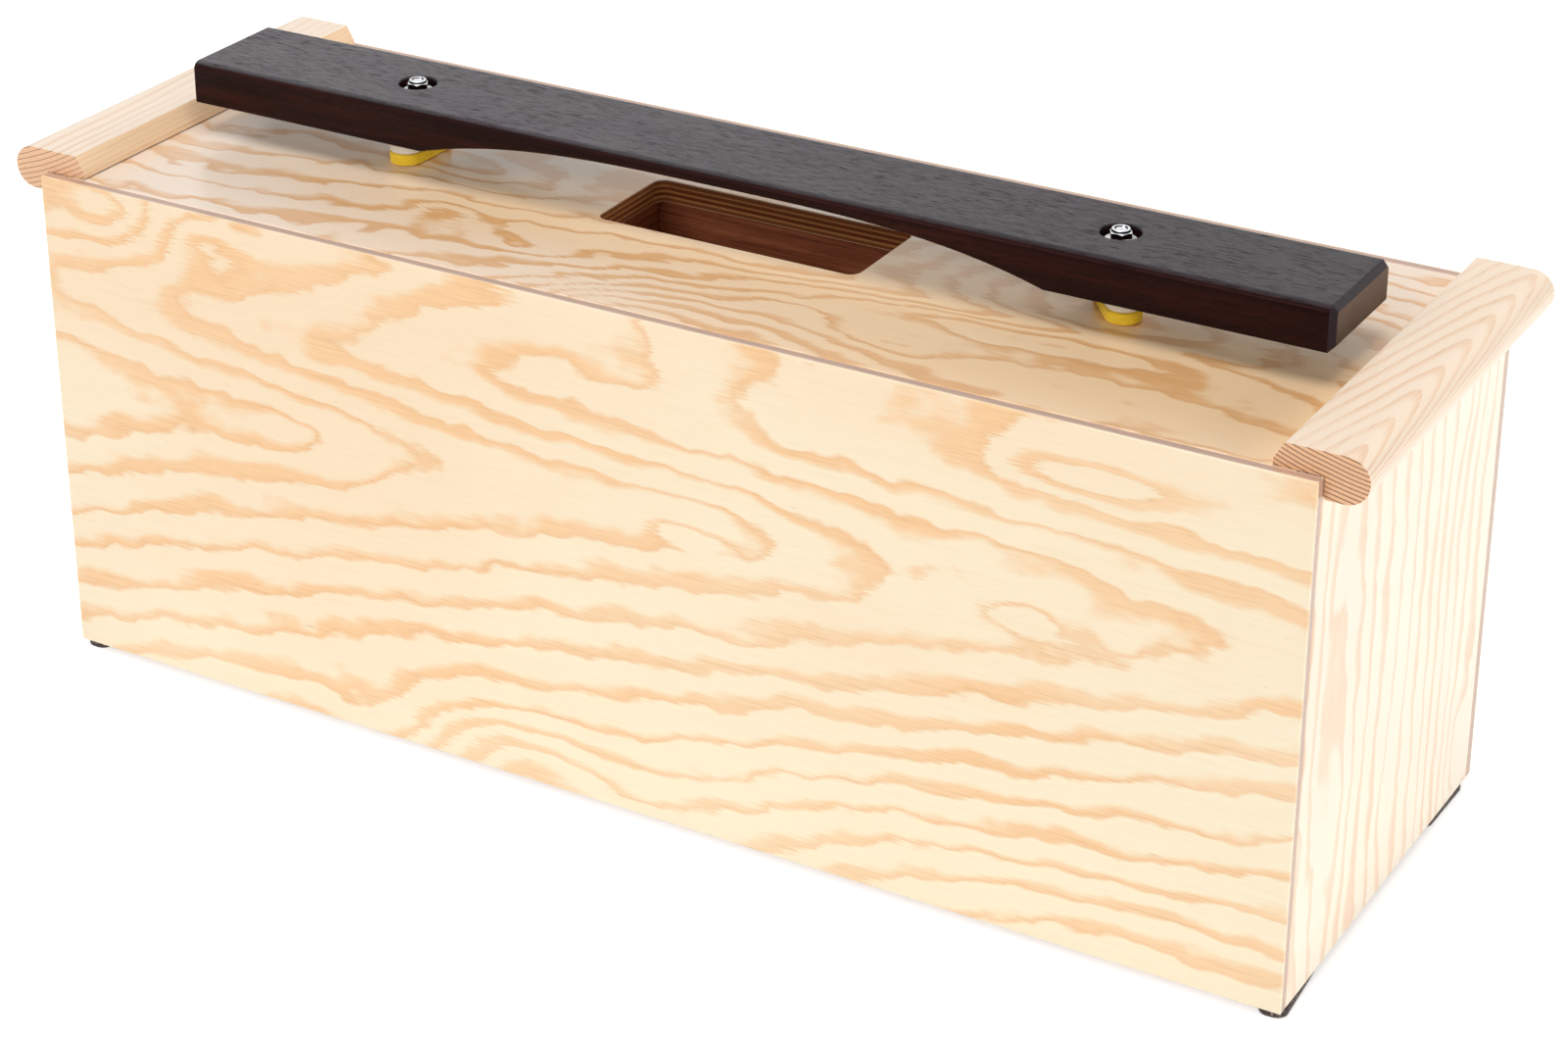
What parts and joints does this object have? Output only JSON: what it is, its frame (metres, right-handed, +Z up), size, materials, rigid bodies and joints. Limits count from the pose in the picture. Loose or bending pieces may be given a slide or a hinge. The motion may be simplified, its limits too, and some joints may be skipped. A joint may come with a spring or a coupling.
{
  "type": "resonator bar",
  "caption": "Single deep wooden sound bar on padded posts over a closed plywood resonator case with a sound slot, duct and handle rails.",
  "frame": {"origin": "on the floor under the middle of the case, level with the undersides of the felt feet", "axes": "+X along the sound bar, towards the right end of the case; +Y from the front panel to the back panel; +Z up"},
  "size_m": [0.742, 0.246, 0.3156],
  "materials": {
    "pine_veneer": "satin lacquered pine veneer",
    "pine_solid": "satin lacquered solid pine",
    "raw_plywood": "bare plywood",
    "dark_rosewood": "dark oiled rosewood",
    "zinc_steel": "bright plated steel",
    "white_nylon": "moulded nylon",
    "yellow_felt": "dense yellow felt",
    "white_felt": "dense off-white felt",
    "grey_felt": "mottled grey felt"
  },
  "bodies": {
    "case": {"front_panel": "pine_veneer", "back_panel": "pine_veneer", "left_end_panel": "pine_veneer", "right_end_panel": "pine_veneer", "top_plate": "pine_veneer", "bottom_panel": "raw_plywood", "bottom_front_batten": "pine_solid", "bottom_back_batten": "pine_solid", "top_front_batten": "pine_solid", "top_back_batten": "pine_solid", "duct_front_board": "raw_plywood", "duct_back_board": "raw_plywood", "duct_left_board": "raw_plywood", "duct_right_board": "raw_plywood", "left_handle_rail": "pine_solid", "right_handle_rail": "pine_solid", "left_rail_screw_1": "zinc_steel", "left_rail_screw_2": "zinc_steel", "left_rail_screw_3": "zinc_steel", "right_rail_screw_1": "zinc_steel", "right_rail_screw_2": "zinc_steel", "right_rail_screw_3": "zinc_steel", "front_left_foot": "grey_felt", "front_right_foot": "grey_felt", "back_left_foot": "grey_felt", "back_right_foot": "grey_felt", "left_post_bolt": "zinc_steel", "left_post_washer": "zinc_steel", "left_post_sleeve": "white_nylon", "left_lock_nut": "zinc_steel", "left_nut_insert": "white_nylon", "right_post_bolt": "zinc_steel", "right_post_washer": "zinc_steel", "right_post_sleeve": "white_nylon", "right_lock_nut": "zinc_steel", "right_nut_insert": "white_nylon"},
    "bar": {"sound_bar": "dark_rosewood"},
    "left_pad": {"left_lower_pad": "yellow_felt", "left_upper_pad": "white_felt"},
    "right_pad": {"right_lower_pad": "yellow_felt", "right_upper_pad": "white_felt"}
  },
  "joints": [
    {"name": "bar_lift", "type": "slide", "parent": "case", "child": "bar", "axis": [0, 0, 1], "range_m": [0, 0.045]},
    {"name": "left_pad_turn", "type": "hinge", "parent": "case", "child": "left_pad", "pos_m": [-0.199, 0, 0.2826], "axis": [0, 0, 1], "continuous": true},
    {"name": "right_pad_turn", "type": "hinge", "parent": "case", "child": "right_pad", "pos_m": [0.199, 0, 0.2826], "axis": [0, 0, 1], "continuous": true}
  ]
}
